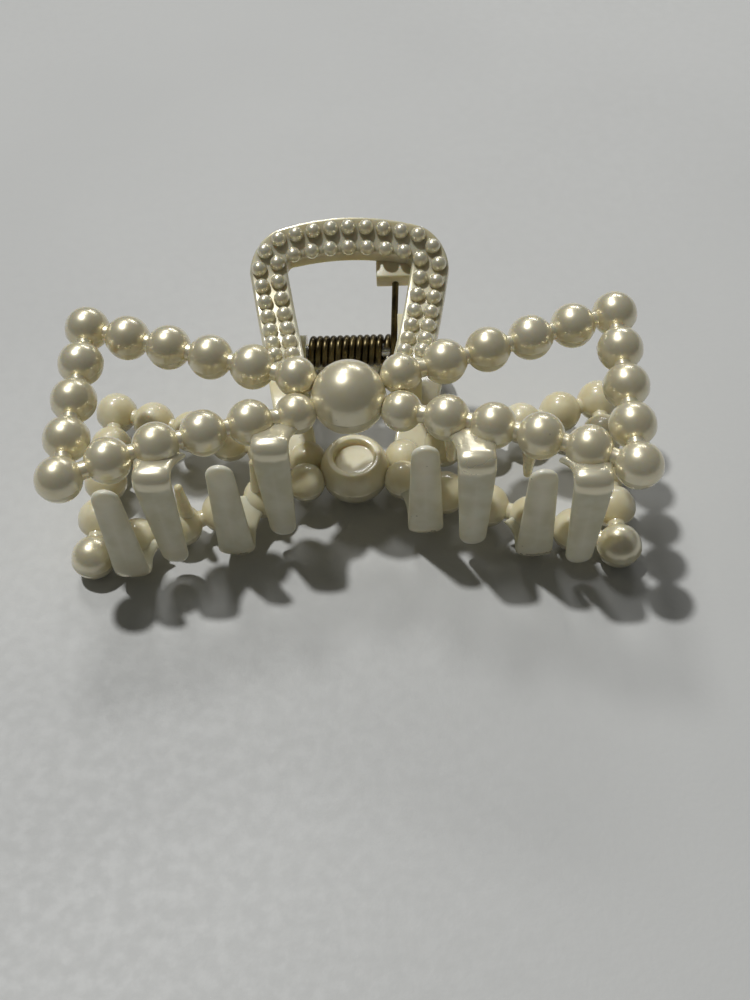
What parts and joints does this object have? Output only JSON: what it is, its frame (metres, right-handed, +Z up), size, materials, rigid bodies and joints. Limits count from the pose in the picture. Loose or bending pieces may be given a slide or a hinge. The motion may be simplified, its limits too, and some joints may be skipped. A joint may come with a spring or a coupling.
{
  "type": "claw clip",
  "caption": "Hair claw clip in the shape of a bow of pearls, two sprung jaws on a hinge pin with interleaving teeth and beaded finger loops.",
  "frame": {"origin": "middle of the bottom of the clip's box, on the surface it rests on", "axes": "+X along the hinge pin and the length of the bow, +Y towards the finger loops, +Z up, with the closed clip lying on its lower jaw"},
  "size_m": [0.1024, 0.0595, 0.0398],
  "materials": {
    "pearl_plastic": "pearl lacquer over cream plastic, soft gloss",
    "tooth_plastic": "milky plastic, pearl lacquer at the bend, satin below",
    "bare_plastic": "uncoated cream plastic, gloss",
    "loop_plastic": "cream plastic with a thin pearl lacquer",
    "seed_plastic": "pearl lacquer, high gloss",
    "pin_steel": "drawn steel",
    "spring_wire": "dark antique brass plating on spring wire"
  },
  "bodies": {
    "lower_jaw": {"lower_bow_left": "pearl_plastic", "lower_bow_right": "pearl_plastic", "lower_knot_pearl": "pearl_plastic", "lower_tooth_1": "tooth_plastic", "lower_tooth_2": "tooth_plastic", "lower_tooth_3": "tooth_plastic", "lower_tooth_4": "tooth_plastic", "lower_inner_prongs": "bare_plastic", "lower_finger_loop": "loop_plastic", "lower_seed_pearls": "seed_plastic", "lower_spring_seat": "bare_plastic", "lower_knuckles": "bare_plastic", "hinge_pin": "pin_steel", "spring_coil": "spring_wire", "spring_lower_end": "spring_wire"},
    "upper_jaw": {"upper_bow_left": "pearl_plastic", "upper_bow_right": "pearl_plastic", "upper_knot_pearl": "pearl_plastic", "upper_tooth_1": "tooth_plastic", "upper_tooth_2": "tooth_plastic", "upper_tooth_3": "tooth_plastic", "upper_tooth_4": "tooth_plastic", "upper_inner_prongs": "bare_plastic", "upper_finger_loop": "loop_plastic", "upper_seed_pearls": "seed_plastic", "upper_spring_seat": "bare_plastic", "upper_knuckles": "bare_plastic", "spring_upper_end": "spring_wire"}
  },
  "joints": [
    {"name": "jaw_hinge", "type": "hinge", "parent": "lower_jaw", "child": "upper_jaw", "pos_m": [0, 0.01299, 0.01887], "axis": [-1, 0, 0], "range_deg": [0, 60], "stiffness_Nm_per_rad": 0.1, "springref_deg": -45.84}
  ]
}
